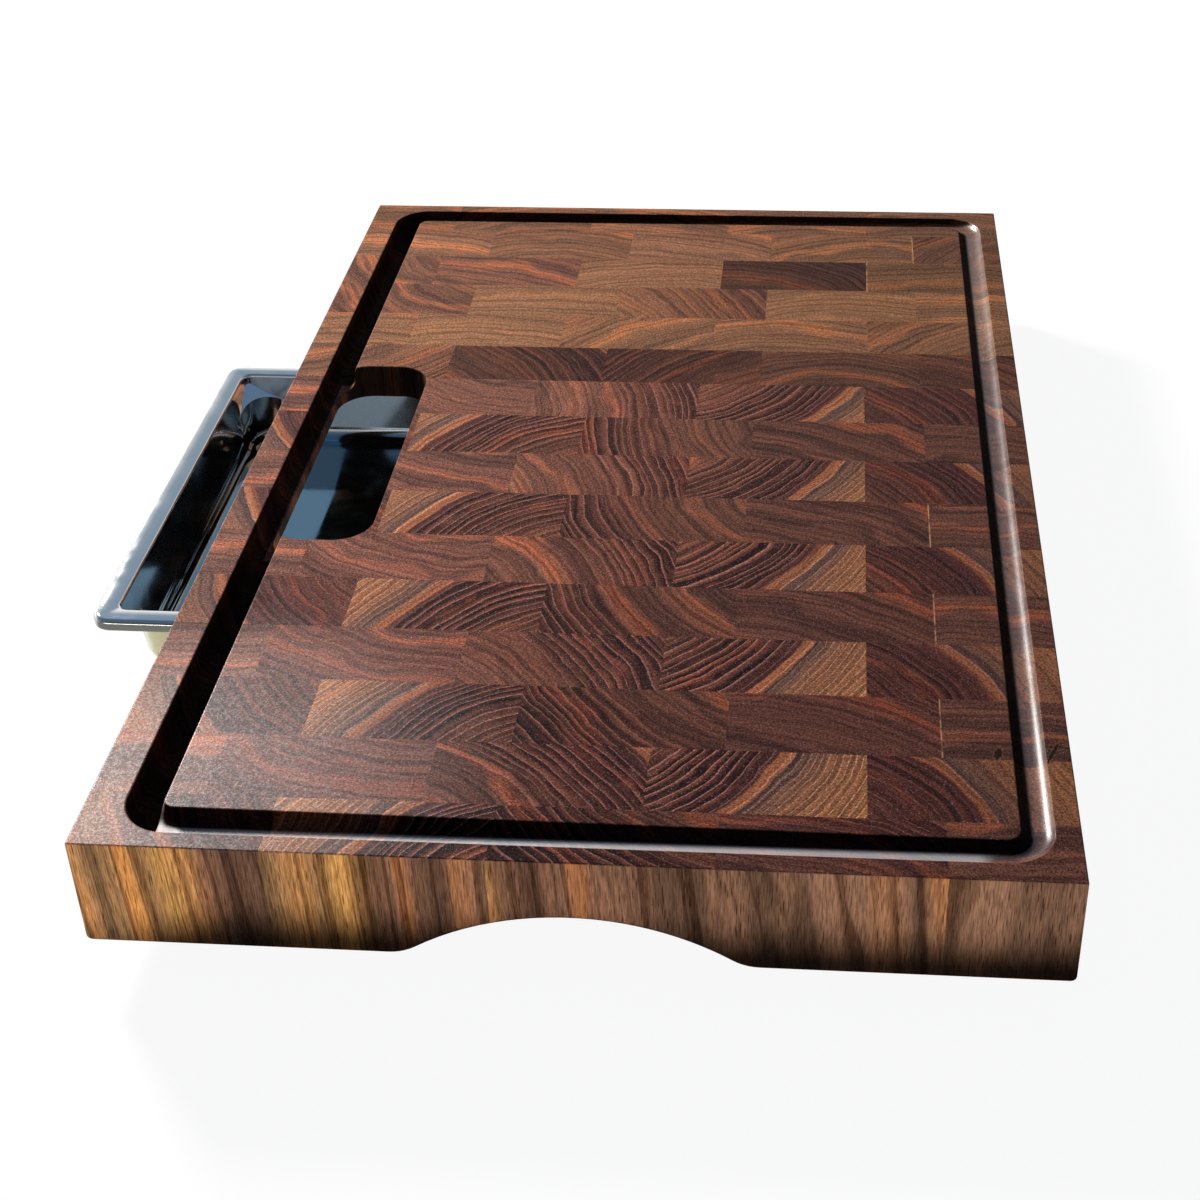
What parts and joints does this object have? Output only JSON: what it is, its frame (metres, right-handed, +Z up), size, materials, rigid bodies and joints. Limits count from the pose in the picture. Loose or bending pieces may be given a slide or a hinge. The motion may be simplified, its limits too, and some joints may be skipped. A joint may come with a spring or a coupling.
{
  "type": "butcher block cutting board",
  "caption": "End-grain wood cutting board with a juice groove and a chute slot over a steel drip pan that slides out on runners under the board.",
  "frame": {"origin": "on the table, under the middle of the whole object's box with the pan drawn out as in the picture", "axes": "+Z up, +Y along the board away from the near edge, +X across the board to the right; the pan slides out along -X"},
  "size_m": [0.4334, 0.6096, 0.0668],
  "materials": {
    "dark_walnut": "oiled satin end grain",
    "red_walnut": "oiled satin end grain",
    "runner_walnut": "oiled long grain",
    "pan_steel": "mirror polished stainless steel",
    "screw_steel": "plain zinc",
    "foot_rubber": "matte"
  },
  "bodies": {
    "board": {"strip_01": "dark_walnut", "strip_02": "dark_walnut", "strip_03": "dark_walnut", "strip_04": "dark_walnut", "strip_05": "dark_walnut", "strip_06": "dark_walnut", "strip_07": "dark_walnut", "strip_08": "dark_walnut", "strip_09": "dark_walnut", "strip_10": "dark_walnut", "strip_11": "red_walnut", "strip_12": "red_walnut", "strip_13": "red_walnut", "strip_14": "red_walnut", "strip_15": "red_walnut", "strip_16": "red_walnut", "near_runner": "runner_walnut", "far_runner": "runner_walnut", "runner_screws": "screw_steel", "near_left_foot": "foot_rubber", "near_right_foot": "foot_rubber", "far_left_foot": "foot_rubber", "far_right_foot": "foot_rubber", "foot_washers": "screw_steel", "foot_screws": "screw_steel"},
    "pan": {"drip_pan": "pan_steel"}
  },
  "joints": [
    {"name": "pan_slide", "type": "slide", "parent": "board", "child": "pan", "axis": [-1, 0, 0], "range_m": [-0.0525, 0.0775]}
  ]
}
